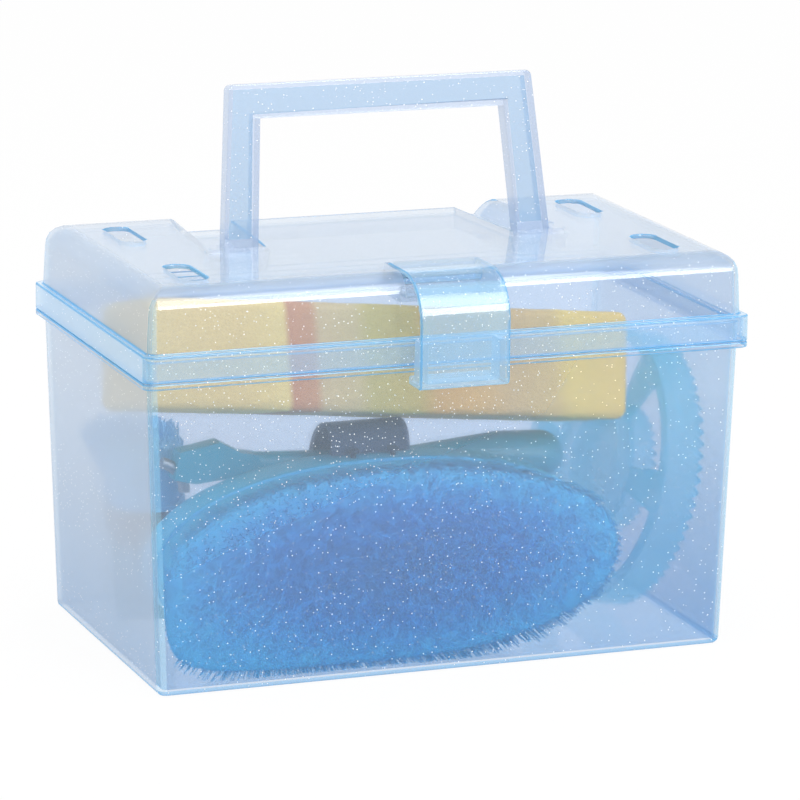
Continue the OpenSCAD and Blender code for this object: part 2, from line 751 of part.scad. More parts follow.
// The curry comb stands on its rim; its teeth look to +X
module curry_comb() {
    ring_gap = 3;
    window_out = comb_r - comb_t - ring_gap;
    window_in = comb_hub_r + ring_gap;
    windows = 6;
    color(comb_blue) translate([comb_x, comb_y, comb_z]) rotate([0, 0, comb_turn])
        rotate([0, 90 + comb_lean, 0]) translate([0, 0, -comb_h]) union() {
            toothed_ring(comb_r, comb_h, comb_teeth);
            toothed_ring(comb_hub_r, comb_h - ring_gap, comb_hub_teeth);
            translate([0, 0, -comb_hub_h]) cylinder(r = comb_hub_r, h = comb_hub_h + eps);
            difference() {
                cylinder(r = comb_r - comb_t / 2, h = comb_t);
                for (k = [0 : windows - 1]) rotate([0, 0, 360 * k / windows])
                    translate([0, 0, -1]) linear_extrude(comb_t + 2) intersection() {
                        difference() {
                            circle(window_out);
                            circle(window_in);
                        }
                        polygon([[0, 0], [2 * comb_r, comb_r * 0.75], [2 * comb_r, -comb_r * 0.75]]);
                    }
            }
        }
}

// The hoof pick lies along X behind the body brush, under the sponge
module pick_place() {
    translate([pick_x, pick_y, pick_z]) rotate([0, pick_tilt, 0]) children();
}

module hoof_pick_handle() {
    head_t = 9;
    head = [[0, -4], [0, 4], [-8, 5], [-18, 10], [2 - pick_head_l, 6], [-pick_head_l, -6], [-28, -8]];
    color(teal) pick_place() union() {
        rotate([0, 90, 0]) union() {
            translate([0, 0, -pick_neck_l - 1]) cylinder(r = pick_neck_r, h = pick_neck_l + 1 + eps);
            cylinder(r1 = pick_neck_r, r2 = pick_bulb_r, h = pick_grip_l * 0.6);
            translate([0, 0, pick_grip_l * 0.6 - eps])
                cylinder(r = pick_bulb_r, h = pick_grip_l * 0.4 - pick_bulb_r);
            translate([0, 0, pick_grip_l - pick_bulb_r]) sphere(pick_bulb_r);
        }
        translate([-pick_neck_l, head_t / 2, 0]) rotate([90, 0, 0]) linear_extrude(head_t) polygon(head);
    }
}

module hoof_pick_hook() {
    hook_r = 13;
    color(steel) pick_place() translate([-pick_neck_l - pick_head_l - hook_r + 6, 0, -12]) rotate([90, 0, 0])
        rotate_extrude(angle = 80) translate([hook_r, 0]) circle(pick_rod_r);
}

base_tub();
hinge_pin_left();
hinge_pin_right();
lid_shell();
latch();
latch_pin();
handle();
sponge();
body_brush_back();
body_brush_bristles();
body_brush_strap();
body_brush_screw_left();
body_brush_screw_right();
face_brush_back();
face_brush_bristles();
face_brush_strap();
face_brush_screw_front();
face_brush_screw_rear();
curry_comb();
hoof_pick_handle();
hoof_pick_hook();
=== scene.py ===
"""Studio scene of a see-through grooming box with its sponge, brushes, curry comb and hoof pick."""

import math
import random

import bpy
from mathutils import Matrix, Vector
from mathutils.bvhtree import BVHTree


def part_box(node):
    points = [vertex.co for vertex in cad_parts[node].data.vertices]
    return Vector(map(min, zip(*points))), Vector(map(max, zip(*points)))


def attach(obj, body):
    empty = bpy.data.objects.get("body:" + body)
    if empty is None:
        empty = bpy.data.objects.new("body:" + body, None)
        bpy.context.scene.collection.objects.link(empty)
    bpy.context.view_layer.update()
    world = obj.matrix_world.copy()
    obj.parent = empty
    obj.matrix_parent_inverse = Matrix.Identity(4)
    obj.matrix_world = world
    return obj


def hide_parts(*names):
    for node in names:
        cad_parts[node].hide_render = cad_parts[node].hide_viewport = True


bl_info = {
    "name": "Grooming Box",
    "version": (1, 0, 0),
    "blender": (4, 5, 0),
    "location": "View3D > Sidebar > Grooming Box",
    "description": "Dresses the packed grooming box and the tools in it for a studio picture",
    "category": "Add Mesh",
}

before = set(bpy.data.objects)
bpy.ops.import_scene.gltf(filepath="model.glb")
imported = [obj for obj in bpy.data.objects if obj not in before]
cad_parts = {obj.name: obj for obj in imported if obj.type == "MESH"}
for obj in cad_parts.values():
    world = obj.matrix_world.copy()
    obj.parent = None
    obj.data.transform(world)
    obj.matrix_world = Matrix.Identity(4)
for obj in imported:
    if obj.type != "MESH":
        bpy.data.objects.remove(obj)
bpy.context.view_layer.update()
MM = 0.001
# Where the tub's walls reach their upper colour, above the painted shade at their foot
FOOT_HEIGHT = 110 * MM
# A flake's radius as a share of the spacing, and the draw above which a place holds one
FLAKE_REACH = 0.12
FLAKE_CUT = 0.45
# The slant below which the plastic's haze grows no more
LEAST_SLANT = 0.26
# What the plastic's skin mirrors when it is seen straight on
SKIN_MIRROR = 0.04
CLEAR_TINT = "f4f8fe"
# Material slots of the box's pieces
MAIN, EDGE, SKIRT, THICK, CHANNEL, PLATE = range(6)


def linear(code):
    """An sRGB hex value as linear red, green, blue and alpha."""
    parts = [int(code[i:i + 2], 16) / 255 for i in (0, 2, 4)]
    return [p / 12.92 if p <= 0.04045 else ((p + 0.055) / 1.055) ** 2.4 for p in parts] + [1.0]


def colour(name, about, code):
    """A colour property whose default is an sRGB hex value."""
    return bpy.props.FloatVectorProperty(
        name=name, description=about, subtype="COLOR", size=4, min=0, max=1, default=linear(code))


def length(name, about, mm):
    """A length property whose default is in millimetres."""
    return bpy.props.FloatProperty(name=name, description=about, unit="LENGTH", min=0, default=mm * MM)


def factor(name, about, share):
    """A share property between 0 and 1."""
    return bpy.props.FloatProperty(
        name=name, description=about, subtype="FACTOR", min=0, max=1, default=share)


class BoxLook(bpy.types.PropertyGroup):
    """Sizes and colours of the box's own pieces."""
    plastic: colour("Plastic", "Colour of the tub's and the lid's walls", "b0cae0")
    # Painted shade: the tub's walls turn darker and bluer towards the floor
    foot: colour("Foot", "Colour of the tub's walls near the floor, where they are thicker", "4494cc")
    edge: colour("Edge", "Colour of the walls where they are seen along their thickness", "3fa6dc")
    thick: colour("Thick parts", "Colour of the corners and the latch", "a4dcf6")
    skirt: colour("Skirt", "Colour of the lid's skirt", "b2daf4")
    plate: colour("Tub floor", "Colour of the tub's floor, seen at a slant", "a4dcf6")
    # Painted shade: the handle's channel is darker and less clear than the rest of the handle
    grip: colour("Handle", "Colour of the carrying handle's channel", "78b2d0")
    rim: colour("Handle rim", "Colour of the walls round the handle's channel", "a6bcda")
    passing: factor("Light passed", "Light that one face of a wall lets through", 0.918)
    foot_passing: factor("Light passed at the foot", "Light that a wall lets through at the floor", 0.8)
    blur: factor("Wall blur", "How much the milky walls blur what lies behind them", 0.5)
    thick_passing: factor("Light passed by thick parts", "Light that a thick face lets through", 0.78)
    skirt_passing: factor("Light passed by the skirt", "Light that a face of the skirt lets through", 0.81)
    edge_passing: factor("Light passed by edges", "Light that a rounded edge lets through", 0.55)
    grip_passing: factor("Light passed by the channel", "Light that the handle's channel lets through", 0.5)
    rim_passing: factor("Light passed by the handle", "Light that a face of the handle lets through", 0.8)
    plate_passing: factor("Light passed by the floor", "Light that the tub's floor lets through", 0.94)
    floor: length("Tub floor", "Thickness of the tub's floor, which shows as a deeper line", 2.6)
    skirt_top: length("Skirt top", "Height of the top of the lid's skirt", 147.3)
    rounding: length("Edge rounding", "Radius of the moulded edges", 0.7)
    flake_pitch: length("Glitter spacing", "Distance between the glitter flakes in the plastic", 2.0)


class ToolLook(bpy.types.PropertyGroup):
    """Sizes and colours of the tools in the box."""
    bristle: colour("Body bristles", "Colour of the body brush's bristles", "0e92d8")
    # Painted light: the paler rim stands for light that comes in from the side
    bristle_rim: colour("Bristle rim", "Colour of the outer body bristles, where light comes in", "3cb6dc")
    pale_bristle: colour("Face bristles", "Colour of the face brush's bristles", "8ccaf0")
    brush_shell: colour("Brush shell", "Colour of the body brush's back", "40bce2")
    comb: colour("Comb", "Colour of the curry comb", "10daee")
    comb_edge: colour("Comb edge", "Colour of the comb along its edges", "10b4d4")
    grip: colour("Pick grip", "Colour of the hoof pick's grip", "2c9eb6")
    dark_band: colour("Dark band", "Colour of the body brush's hand strap", "364c6c")
    teal_band: colour("Teal band", "Colour of the face brush's hand strap", "86b8cc")
    wood: colour("Wood", "Colour of the face brush's back", "8c5e4a")
    comb_passing: factor("Light passed by the comb", "Light that a face of the comb lets through", 0.75)
    comb_edge_passing: factor("Light passed by its edges", "Light that the comb's edges let through", 0.5)
    comb_glow: factor("Comb glow", "Share of the comb's body that shows light from behind", 0.6)
    bristle_pitch: length("Bristle spacing", "Distance between the body brush's bristles", 1.0)


def add_node(tree, kind, inputs=None, **settings):
    """Adds one node with its settings, and sets or links its inputs."""
    node = tree.nodes.new(kind)
    for name, value in settings.items():
        setattr(node, name, value)
    for name, value in (inputs or {}).items():
        if isinstance(value, bpy.types.NodeSocket):
            tree.links.new(value, node.inputs[name])
        else:
            node.inputs[name].default_value = value
    return node


def new_material(name):
    """An empty node material."""
    material = bpy.data.materials.new(name)
    material.use_nodes = True
    material.node_tree.nodes.clear()
    return material, material.node_tree


def show(tree, shader):
    """Sends a shader to the material's output."""
    add_node(tree, "ShaderNodeOutputMaterial", {"Surface": shader})


def clear_polypropylene(name, tint, passing, flake_pitch, mirror=0.96, blur=0.0, foot=None, glow=0.0):
    """Injection-moulded clear polypropylene: glossy skin, milky body that thickens where it is seen
    at a slant and blurs what lies behind it, and fine silver glitter flakes. A foot is painted shade:
    a darker colour and less light passed at the floor, fading into the wall's own colour upwards."""
    material, tree = new_material(name)
    place = add_node(tree, "ShaderNodeTexCoord").outputs["Object"]
    # Painted shade at the foot: colour and haze darken towards the floor
    if foot:
        axes = add_node(tree, "ShaderNodeSeparateXYZ", {"Vector": place})
        height = add_node(tree, "ShaderNodeMapRange", {"Value": axes.outputs["Z"], "From Max": FOOT_HEIGHT})
        tint = add_node(tree, "ShaderNodeMix", {
            "Factor": height.outputs[0], "A": foot[0], "B": tint}, data_type="RGBA").outputs[2]
        passing = add_node(tree, "ShaderNodeMapRange", {
            "Value": height.outputs[0], "To Min": foot[1], "To Max": passing}).outputs[0]
    cells = add_node(tree, "ShaderNodeTexVoronoi", {"Vector": place, "Scale": 1 / flake_pitch})
    near = add_node(tree, "ShaderNodeMath", {
        0: cells.outputs["Distance"], 1: FLAKE_REACH}, operation="LESS_THAN")
    lot = add_node(tree, "ShaderNodeSeparateColor", {"Color": cells.outputs["Color"]})
    chosen = add_node(tree, "ShaderNodeMath", {0: lot.outputs["Red"], 1: FLAKE_CUT}, operation="GREATER_THAN")
    flake = add_node(tree, "ShaderNodeMath", {0: near.outputs[0], 1: chosen.outputs[0]}, operation="MULTIPLY")
    facing = add_node(tree, "ShaderNodeLayerWeight", {"Blend": 0.5}).outputs["Facing"]
    upright = add_node(tree, "ShaderNodeMath", {0: 1.0, 1: facing}, operation="SUBTRACT")
    least = add_node(tree, "ShaderNodeMath", {0: upright.outputs[0], 1: LEAST_SLANT}, operation="MAXIMUM")
    path = add_node(tree, "ShaderNodeMath", {0: 1.0, 1: least.outputs[0]}, operation="DIVIDE")
    through = add_node(tree, "ShaderNodeMath", {0: passing, 1: path.outputs[0]}, operation="POWER")
    haze = add_node(tree, "ShaderNodeMath", {0: 1.0, 1: through.outputs[0]}, operation="SUBTRACT")
    cover = add_node(tree, "ShaderNodeMath", {0: haze.outputs[0], 1: flake.outputs[0]}, operation="MAXIMUM")
    shade = add_node(tree, "ShaderNodeMix", {
        "Factor": flake.outputs[0], "A": tint, "B": linear("ffffff")}, data_type="RGBA")
    shade_out = shade.outputs[2]
    glint = add_node(tree, "ShaderNodeBump", {
        "Height": flake.outputs[0], "Strength": 0.6, "Distance": 0.2 * MM}).outputs[0]
    body = add_node(tree, "ShaderNodeBsdfPrincipled", {
        "Base Color": shade_out, "Roughness": 0.35, "IOR": 1.49, "Normal": glint})
    if glow:
        through_light = add_node(tree, "ShaderNodeBsdfTranslucent", {"Color": shade_out})
        body = add_node(tree, "ShaderNodeMixShader", {
            0: glow, 1: body.outputs[0], 2: through_light.outputs[0]})
    clear = add_node(tree, "ShaderNodeBsdfTransparent", {"Color": linear(CLEAR_TINT)})
    if blur:
        slant = add_node(tree, "ShaderNodeMapRange", {"Value": facing, "To Min": 0.1, "To Max": 1.2})
        fade = add_node(tree, "ShaderNodeMapRange", {
            "Value": facing, "From Min": 0.6, "From Max": 0.82, "To Min": 1.0, "To Max": 0.0})
        share = add_node(tree, "ShaderNodeMath", {
            0: slant.outputs[0], 1: fade.outputs[0]}, operation="MULTIPLY")
        frost = add_node(tree, "ShaderNodeBsdfRefraction", {
            "Color": linear(CLEAR_TINT), "Roughness": blur, "IOR": 1.05})
        clear = add_node(tree, "ShaderNodeMixShader", {
            0: share.outputs[0], 1: clear.outputs[0], 2: frost.outputs[0]})
    wall = add_node(tree, "ShaderNodeMixShader", {
        0: cover.outputs[0], 1: clear.outputs[0], 2: body.outputs[0]})
    rim = add_node(tree, "ShaderNodeMath", {0: facing, 1: 5.0}, operation="POWER")
    skin_share = add_node(tree, "ShaderNodeMath", {
        0: rim.outputs[0], 1: mirror, 2: SKIN_MIRROR}, operation="MULTIPLY_ADD")
    shine = add_node(tree, "ShaderNodeBsdfGlossy", {"Color": linear("ffffff"), "Roughness": 0.08})
    skin = add_node(tree, "ShaderNodeMixShader", {
        0: skin_share.outputs[0], 1: wall.outputs[0], 2: shine.outputs[0]})
    lamp_ray = add_node(tree, "ShaderNodeLightPath").outputs["Is Shadow Ray"]
    open_way = add_node(tree, "ShaderNodeBsdfTransparent", {"Color": linear("ffffff")})
    lit = add_node(tree, "ShaderNodeMixShader", {0: lamp_ray, 1: skin.outputs[0], 2: open_way.outputs[0]})
    show(tree, lit.outputs[0])
    return material


def zinc_plated_steel():
    """Drawn wire with a bright zinc plating: a grey metal with a slightly uneven shine."""
    material, tree = new_material("zinc_plated_steel")
    place = add_node(tree, "ShaderNodeTexCoord").outputs["Object"]
    cloud = add_node(tree, "ShaderNodeTexNoise", {"Vector": place, "Scale": 1 / (0.8 * MM), "Detail": 3.0})
    rough = add_node(tree, "ShaderNodeMapRange", {
        "Value": cloud.outputs["Fac"], "To Min": 0.38, "To Max": 0.55})
    metal = add_node(tree, "ShaderNodeBsdfPrincipled", {
        "Base Color": linear("a4a9af"), "Metallic": 1.0, "Roughness": rough.outputs[0]})
    show(tree, metal.outputs[0])
    return material


def blackened_steel():
    """Chemically blackened screw steel: nearly black metal with a dull shine."""
    material, tree = new_material("blackened_steel")
    metal = add_node(tree, "ShaderNodeBsdfPrincipled", {
        "Base Color": linear("3a4250"), "Metallic": 0.8, "Roughness": 0.5})
    show(tree, metal.outputs[0])
    return material


def open_cell_foam():
    """Open-cell polyurethane foam, cut in a block and dyed in bands: matt, small pores with painted shade."""
    material, tree = new_material("open_cell_foam")
    place = add_node(tree, "ShaderNodeTexCoord").outputs["Object"]
    axes = add_node(tree, "ShaderNodeSeparateXYZ", {"Vector": place})
    along = add_node(tree, "ShaderNodeMapRange", {
        "Value": axes.outputs["X"], "From Min": -0.130, "From Max": 0.095})
    bands = add_node(tree, "ShaderNodeValToRGB", {"Fac": along.outputs[0]})
    ramp = bands.color_ramp
    stops = ((0.0, "e6c684"), (0.20, "e4c27c"), (0.29, "eacb80"), (0.30, "c88a60"), (0.345, "ca9266"),
             (0.36, "d2b684"), (0.43, "d2b980"), (0.46, "c9b566"), (0.55, "ceb25c"), (0.59, "dca85c"),
             (0.66, "deac60"), (0.74, "d0ac72"), (0.83, "d4b26e"), (0.86, "e4c266"), (1.0, "e4be68"))
    for at, code in stops[2:]:
        ramp.elements.new(at)
    for element, (at, code) in zip(ramp.elements, stops):
        element.position = at
        element.color = linear(code)
    cells = add_node(tree, "ShaderNodeTexVoronoi", {"Vector": place, "Scale": 1 / (1.1 * MM)})
    # Painted shade: each pore is darker in its middle
    pores = add_node(tree, "ShaderNodeMapRange", {
        "Value": cells.outputs["Distance"], "From Min": 0.1, "From Max": 0.7, "To Min": 1.0, "To Max": 1.12})
    dyed = add_node(tree, "ShaderNodeMix", {
        "Factor": 1.0, "A": bands.outputs["Color"], "B": pores.outputs[0]}, data_type="RGBA",
        blend_type="MULTIPLY")
    bump = add_node(tree, "ShaderNodeBump", {
        "Height": cells.outputs["Distance"], "Strength": 0.5, "Distance": 0.6 * MM})
    foam = add_node(tree, "ShaderNodeBsdfPrincipled", {
        "Base Color": dyed.outputs[2], "Roughness": 0.95, "Normal": bump.outputs[0],
        "Specular IOR Level": 0.2})
    show(tree, foam.outputs[0])
    return material


def nylon_bristle(name, tint, rim, middle, half):
    """Drawn nylon filament, dyed through and matt in the mass. Its rim is painted light: the field is
    deeper in the middle and paler towards its rim, where light comes in from the side."""
    material, tree = new_material(name)
    place = add_node(tree, "ShaderNodeTexCoord").outputs["Object"]
    shifted = add_node(tree, "ShaderNodeVectorMath", {0: place, 1: middle}, operation="SUBTRACT")
    scaled = add_node(tree, "ShaderNodeVectorMath", {0: shifted.outputs[0], 1: half}, operation="DIVIDE")
    away = add_node(tree, "ShaderNodeVectorMath", {0: scaled.outputs[0]}, operation="LENGTH")
    cloud = add_node(tree, "ShaderNodeTexNoise", {"Vector": place, "Scale": 1 / (7 * MM), "Detail": 5.0})
    ragged = add_node(tree, "ShaderNodeMath", {
        0: cloud.outputs["Fac"], 1: 0.5, 2: away.outputs["Value"]}, operation="MULTIPLY_ADD")
    # Painted light: the colour pales towards the field's ragged rim
    outer = add_node(tree, "ShaderNodeMapRange", {
        "Value": ragged.outputs[0], "From Min": 0.8, "From Max": 1.3})
    dyed = add_node(tree, "ShaderNodeMix", {
        "Factor": outer.outputs[0], "A": tint, "B": rim}, data_type="RGBA")
    fibre = add_node(tree, "ShaderNodeBsdfPrincipled", {
        "Base Color": dyed.outputs[2], "Roughness": 0.6, "Specular IOR Level": 0.2})
    show(tree, fibre.outputs[0])
    return material


def moulded_plastic(name, tint, roughness):
    """Moulded polypropylene, coloured through, with the fine satin grain of its mould."""
    material, tree = new_material(name)
    place = add_node(tree, "ShaderNodeTexCoord").outputs["Object"]
    grain = add_node(tree, "ShaderNodeTexNoise", {"Vector": place, "Scale": 1 / (0.9 * MM), "Detail": 3.0})
    rough = add_node(tree, "ShaderNodeMapRange", {
        "Value": grain.outputs["Fac"], "To Min": roughness - 0.06, "To Max": roughness + 0.06})
    bump = add_node(tree, "ShaderNodeBump", {
        "Height": grain.outputs["Fac"], "Strength": 0.15, "Distance": 0.1 * MM})
    plastic = add_node(tree, "ShaderNodeBsdfPrincipled", {
        "Base Color": tint, "Roughness": rough.outputs[0], "IOR": 1.49, "Normal": bump.outputs[0]})
    show(tree, plastic.outputs[0])
    return material


def woven_webbing(name, tint):
    """Woven polypropylene webbing: ribs along the band with crossing picks, matt with a slight sheen."""
    material, tree = new_material(name)
    place = add_node(tree, "ShaderNodeTexCoord").outputs["Object"]
    ribs = add_node(tree, "ShaderNodeTexWave", {"Vector": place, "Scale": math.pi / 10 / (1.6 * MM)},
                    bands_direction="X")
    picks = add_node(tree, "ShaderNodeTexWave", {"Vector": place, "Scale": math.pi / 10 / (1.2 * MM)},
                     bands_direction="Z")
    weave = add_node(tree, "ShaderNodeMath", {0: ribs.outputs["Fac"], 1: picks.outputs["Fac"]},
                     operation="MULTIPLY")
    # Painted shade and light: the tint darkens between the threads and lightens where they cross
    tone = add_node(tree, "ShaderNodeMapRange", {"Value": weave.outputs[0], "To Min": 0.6, "To Max": 1.2})
    dyed = add_node(tree, "ShaderNodeMix", {"Factor": 1.0, "A": tint, "B": tone.outputs[0]},
                    data_type="RGBA", blend_type="MULTIPLY")
    bump = add_node(tree, "ShaderNodeBump", {
        "Height": weave.outputs[0], "Strength": 0.5, "Distance": 0.4 * MM})
    band = add_node(tree, "ShaderNodeBsdfPrincipled", {
        "Base Color": dyed.outputs[2], "Roughness": 0.8, "Normal": bump.outputs[0], "Sheen Weight": 0.2})
    show(tree, band.outputs[0])
    return material


def varnished_beech(tint):
    """Turned beech under a thin varnish: short darker flecks along the grain, soft gloss."""
    material, tree = new_material("varnished_beech")
    place = add_node(tree, "ShaderNodeTexCoord").outputs["Object"]
    drawn = add_node(tree, "ShaderNodeMapping", {"Vector": place, "Scale": (1.0, 0.12, 1.0)})
    grain = add_node(tree, "ShaderNodeTexNoise", {
        "Vector": drawn.outputs[0], "Scale": 1 / (2.5 * MM), "Detail": 5.0})
    tone = add_node(tree, "ShaderNodeMapRange", {
        "Value": grain.outputs["Fac"], "To Min": 0.65, "To Max": 1.3})
    dyed = add_node(tree, "ShaderNodeMix", {"Factor": 1.0, "A": tint, "B": tone.outputs[0]},
                    data_type="RGBA", blend_type="MULTIPLY")
    beech = add_node(tree, "ShaderNodeBsdfPrincipled", {
        "Base Color": dyed.outputs[2], "Roughness": 0.4, "Coat Weight": 0.3, "Coat Roughness": 0.15})
    show(tree, beech.outputs[0])
    return material


def deselect():
    """Back to object mode with nothing selected."""
    if bpy.context.mode != "OBJECT":
        bpy.ops.object.mode_set(mode="OBJECT")
    bpy.ops.object.select_all(action="DESELECT")


def make_active(piece):
    """Selects one piece alone."""
    deselect()
    piece.select_set(True)
    bpy.context.view_layer.objects.active = piece


def unselect(mesh):
    """Clears the selection of a mesh's points, edges and faces."""
    for group in (mesh.vertices, mesh.edges, mesh.polygons):
        group.foreach_set("select", [False] * len(group))


def cad_copy(node, name):
    """A copy of a CAD node whose loose triangles are merged into clean faces."""
    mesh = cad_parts[node].data.copy()
    mesh.name = name
    mesh.materials.clear()
    piece = bpy.data.objects.new(name, mesh)
    bpy.context.scene.collection.objects.link(piece)
    make_active(piece)
    bpy.ops.mesh.customdata_custom_splitnormals_clear()
    bpy.ops.object.mode_set(mode="EDIT")
    bpy.ops.mesh.select_all(action="SELECT")
    bpy.ops.mesh.remove_doubles(threshold=0.02 * MM)
    bpy.ops.mesh.dissolve_limited(angle_limit=math.radians(0.5))
    bpy.ops.object.mode_set(mode="OBJECT")
    return piece


def round_edges(piece, width, segments, wanted, sharp=35, slot=-1, clamp=True):
    """Bevels the sharp edges whose two ends pass a test of place. Without the clamp it takes the edges that
    stick out alone, at their full width. Points that stray are pulled back to the old surface."""
    make_active(piece)
    bpy.ops.object.mode_set(mode="EDIT")
    bpy.ops.mesh.select_mode(type="EDGE")
    bpy.ops.mesh.select_all(action="DESELECT")
    bpy.ops.mesh.edges_select_sharp(sharpness=math.radians(sharp))
    bpy.ops.object.mode_set(mode="OBJECT")
    mesh = piece.data
    picked = [e.index for e in mesh.edges
              if e.select and wanted(mesh.vertices[e.vertices[0]].co, mesh.vertices[e.vertices[1]].co)]
    if not clamp:
        sides = {}
        for face in mesh.polygons:
            for key in face.edge_keys:
                sides.setdefault(key, []).append(face)
        outward = {key for key, (one, two) in sides.items()
                   if (two.center - one.center).dot(one.normal) < 0}
        picked = [index for index in picked if mesh.edges[index].key in outward]
    unselect(mesh)
    for index in picked:
        mesh.edges[index].select = True
    before = BVHTree.FromPolygons([v.co.copy() for v in mesh.vertices],
                                  [tuple(f.vertices) for f in mesh.polygons])
    bpy.ops.object.mode_set(mode="EDIT")
    bpy.ops.mesh.bevel(offset=width, segments=segments, affect="EDGES", clamp_overlap=clamp, material=slot)
    bpy.ops.object.mode_set(mode="OBJECT")
    for vertex in mesh.vertices:
        spot, _, _, far = before.find_nearest(vertex.co)
        if far > width / 2:
            vertex.co = spot


def crowded(point):
    """Whether a point of the lid lies by the handle's pockets or the latch's ears, which are too small for
    a rounding."""
    x, y, z = (c / MM for c in (abs(point.x), point.y, point.z))
    return z > 160 and (70 < x < 90 and -16 < y < 14 or 20 < x < 28 and y < -40)


def smooth(piece, angle=40):
    """Smooth shading that keeps the sharp edges."""
    make_active(piece)
    bpy.ops.object.shade_smooth_by_angle(angle=math.radians(angle))
    even = piece.modifiers.new("even_normals", "WEIGHTED_NORMAL")
    even.keep_sharp = True


def settle(piece, body, slot, *nodes):
    """Declares what a finished piece rides on and the CAD nodes it stands for. The record slot is not used.
    """
    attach(piece, body)
    if nodes:
        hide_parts(*nodes)


def apply_place(piece):
    """Puts a piece's place into its mesh."""
    make_active(piece)
    bpy.ops.object.transform_apply(location=True, rotation=True, scale=True)


def apply_all(piece):
    """Applies a piece's modifiers in order."""
    make_active(piece)
    for modifier in list(piece.modifiers):
        bpy.ops.object.modifier_apply(modifier=modifier.name)


def strand_field(name, counts, pitch, tall, root, tip):
    """A grid of three-sided strands along +Z: one is modelled and then arrayed. Returns it with the
    number of points in each strand."""
    deselect()
    bpy.ops.mesh.primitive_cone_add(
        vertices=3, radius1=root, radius2=tip, depth=tall, end_fill_type="NGON", location=(0, 0, tall / 2))
    piece = bpy.context.object
    piece.name = piece.data.name = name
    apply_place(piece)
    points = len(piece.data.vertices)
    for axis in (0, 1):
        array = piece.modifiers.new("rows", "ARRAY")
        array.use_relative_offset = False
        array.use_constant_offset = True
        array.constant_offset_displace = [pitch if i == axis else 0 for i in range(3)]
        array.count = counts[axis]
    apply_all(piece)
    return piece, points


def comb_strands(piece, points, counts, pitch, tall, half, power, fan, ruffle, seed, least=-1.0):
    """Keeps the strands whose roots lie in an oval, and leans, ruffles and trims each of them. Strands of
    one tuft lean together, and none goes below the least Y."""
    dice = random.Random(seed)
    mesh = piece.data
    spare = []
    middle = [(counts[0] - 1) * pitch / 2, (counts[1] - 1) * pitch / 2]
    for first in range(0, len(mesh.vertices), points):
        block = [mesh.vertices[i] for i in range(first, first + points)]
        column = (first // points) % counts[0]
        row = (first // points) // counts[0]
        x = column * pitch - middle[0]
        y = row * pitch - middle[1]
        nudge = [dice.uniform(-0.5, 0.5) * pitch for _ in range(2)]
        tuft = random.Random((column // 4) * 1000 + row // 4 + seed)
        lean = [tuft.gauss(0, ruffle) + dice.gauss(0, ruffle / 2) for _ in range(2)]
        trim = 1 + dice.uniform(-0.1, 0.01) - 0.1 * ((x / half[0]) ** 2 + (y / half[1]) ** 2)
        if (abs(x) / half[0]) ** power + (abs(y) / half[1]) ** power > 1:
            spare.extend(v.index for v in block)
            continue
        drift = fan(x, y)
        for v in block:
            t = (v.co.z / tall) ** 1.6
            v.co.x += nudge[0] - middle[0] + (drift[0] + lean[0]) * t
            v.co.y = max(v.co.y + nudge[1] - middle[1] + (drift[1] + lean[1]) * t, least)
            v.co.z *= trim
    unselect(mesh)
    for index in spare:
        mesh.vertices[index].select = True
    make_active(piece)
    bpy.ops.object.mode_set(mode="EDIT")
    bpy.ops.mesh.select_mode(type="VERT")
    bpy.ops.mesh.delete(type="VERT")
    bpy.ops.object.mode_set(mode="OBJECT")


def corner_reach(x, y, half, power):
    """How many times further than an oval's rim a point in its lower left quarter may reach, so that the
    outline there is squarer."""
    if x >= 0 or y >= 0:
        return 1.0
    across, down = -x / half[0], -y / half[1]
    squarer = 6
    return ((across ** power + down ** power) ** (1 / power)
            / (across ** squarer + down ** squarer) ** (1 / squarer))


def splay(x, y, half, power, most):
    """How far a strand's tip leans outwards: nothing in the middle of an oval and most at its rim. In the
    lower left quarter the strands are pressed into the corner."""
    away = (x / half[0]) ** 2 + (y / half[1]) ** 2
    pressed = (corner_reach(x, y, half, power) - 1) * away
    return x * (most[0] * away + pressed), y * (most[1] * away + pressed)


def oval_plate(name, half, power, thick):
    """A flat plate with a rounded oval outline, from its top at Z 0 down."""
    deselect()
    bpy.ops.mesh.primitive_cylinder_add(vertices=72, radius=1, depth=thick, location=(0, 0, -thick / 2))
    plate = bpy.context.object
    plate.name = plate.data.name = name
    apply_place(plate)
    for v in plate.data.vertices:
        if abs(v.co.x) + abs(v.co.y) > 0.01:
            for i in (0, 1):
                v.co[i] = half[i] * math.copysign(abs(v.co[i]) ** (2 / power), v.co[i])
    return plate


def bristle_core(half, power, tall, flare, drift, pressed=False):
    """The dense middle of a bristle field, under the loose ends: an oval block that widens to its top,
    and may be pressed into the lower left corner there."""
    core = oval_plate("core", half, power, tall)
    for v in core.data.vertices:
        v.co.z += tall
        if v.co.z > tall / 2:
            reach = corner_reach(v.co.x, v.co.y, half, power) if pressed else 1.0
            v.co.x = v.co.x * flare[0] * reach + drift[0]
            v.co.y = v.co.y * flare[1] * reach + drift[1]
    round_edges(core, tall * 0.22, 4, lambda a, b: min(a.z, b.z) > tall / 2)
    return core


def join(name, *parts):
    """Joins meshes into one piece."""
    make_active(parts[0])
    for part in parts:
        part.select_set(True)
    bpy.ops.object.join()
    piece = bpy.context.object
    piece.name = piece.data.name = name
    return piece


